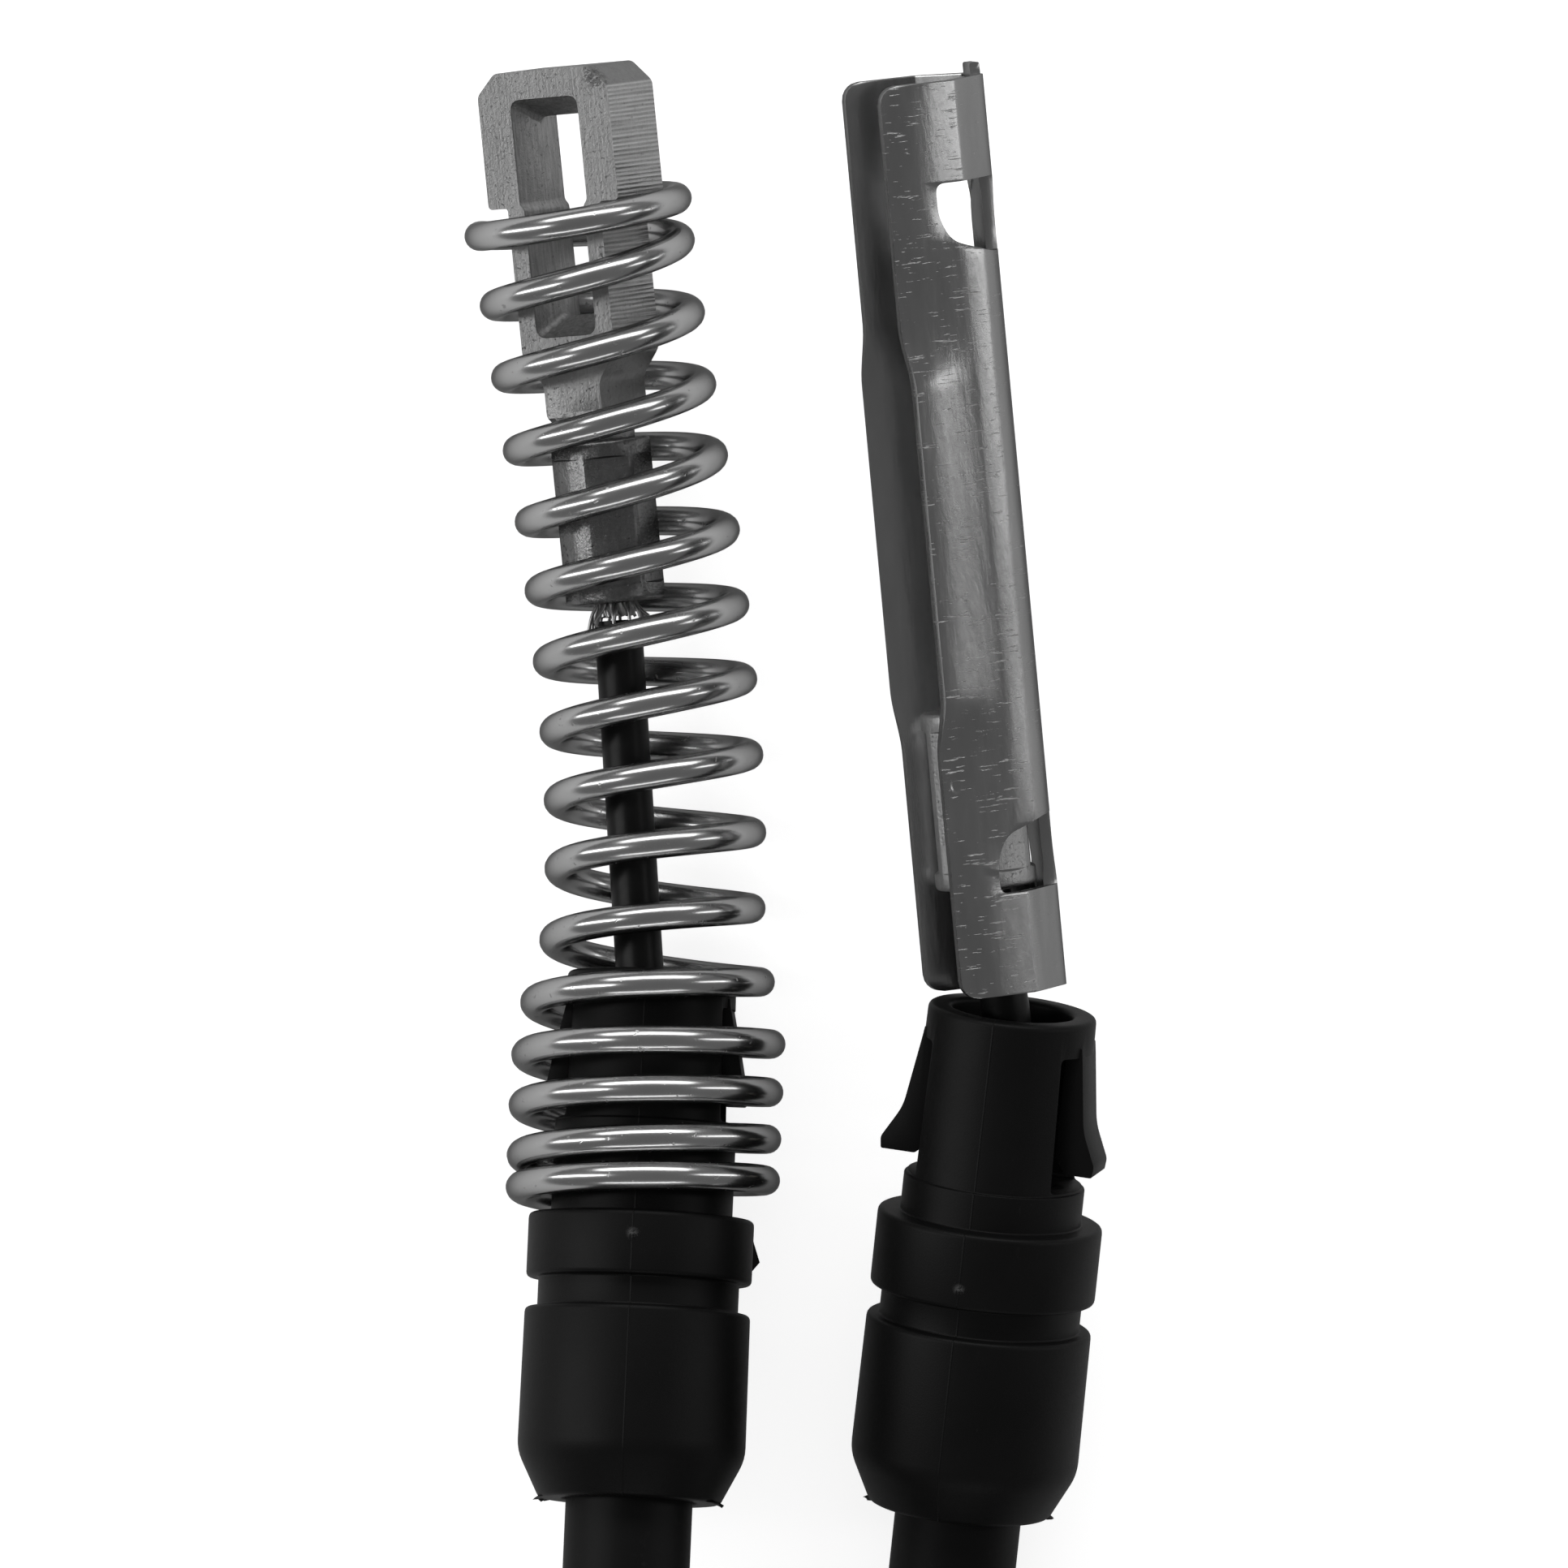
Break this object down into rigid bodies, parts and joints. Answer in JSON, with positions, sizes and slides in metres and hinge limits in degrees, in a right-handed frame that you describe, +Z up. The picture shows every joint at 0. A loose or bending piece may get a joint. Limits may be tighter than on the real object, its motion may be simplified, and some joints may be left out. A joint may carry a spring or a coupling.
{
  "type": "parking brake cable",
  "caption": "Parking brake cable: slotted eye with flared return spring at the brake end, channel connector at the lever end, snap-in fittings, conduit stored in a tied coil.",
  "frame": {"origin": "middle of the two cable ends' bounding box, on the surface that the cable lies on", "axes": "+Y from the fittings towards the eye and the connector, +X from the brake end to the lever end, +Z up"},
  "size_m": [0.1078, 0.2468, 0.0322],
  "materials": {
    "black_nylon": "satin moulded nylon",
    "conduit_sheath": "extruded, slightly scuffed",
    "cable_coating": "thin coating that shows the strands below",
    "liner_plastic": "smooth, natural colour",
    "cast_steel": "zinc plated over a forged and machined surface",
    "bright_zinc": "bright zinc plated wire",
    "plated_sheet": "smooth zinc plate with fine die scratches",
    "bare_wire": "bare wire rope"
  },
  "bodies": {
    "cable_casing": {"brake_end_fitting": "black_nylon", "brake_end_liner": "liner_plastic", "return_spring": "bright_zinc", "lever_end_fitting": "black_nylon", "lever_end_liner": "liner_plastic", "conduit_brake_end_run": "conduit_sheath", "conduit_lever_end_run": "conduit_sheath", "conduit_coil": "conduit_sheath", "coil_tie_left": "black_nylon", "coil_tie_right": "black_nylon"},
    "lever_end": {"connector_channel": "plated_sheet", "barrel_stop": "cast_steel", "lever_end_strand": "bare_wire", "lever_end_inner_cable": "cable_coating"},
    "brake_end": {"brake_end_eye": "cast_steel", "brake_end_strand": "bare_wire", "brake_end_inner_cable": "cable_coating"}
  },
  "joints": [
    {"name": "lever_pull", "type": "slide", "parent": "cable_casing", "child": "lever_end", "axis": [0.1046, 0.9792, 0.1736], "range_m": [0, 0.025]},
    {"name": "brake_pull", "type": "slide", "parent": "cable_casing", "child": "brake_end", "axis": [0.0624, -0.9967, 0.0523], "range_m": [0, 0.025], "stiffness_N_per_m": 5500, "deforming": ["return_spring"]}
  ],
  "couplings": [
    {"joint": "brake_pull", "follows": "lever_pull", "ratio": 1}
  ]
}
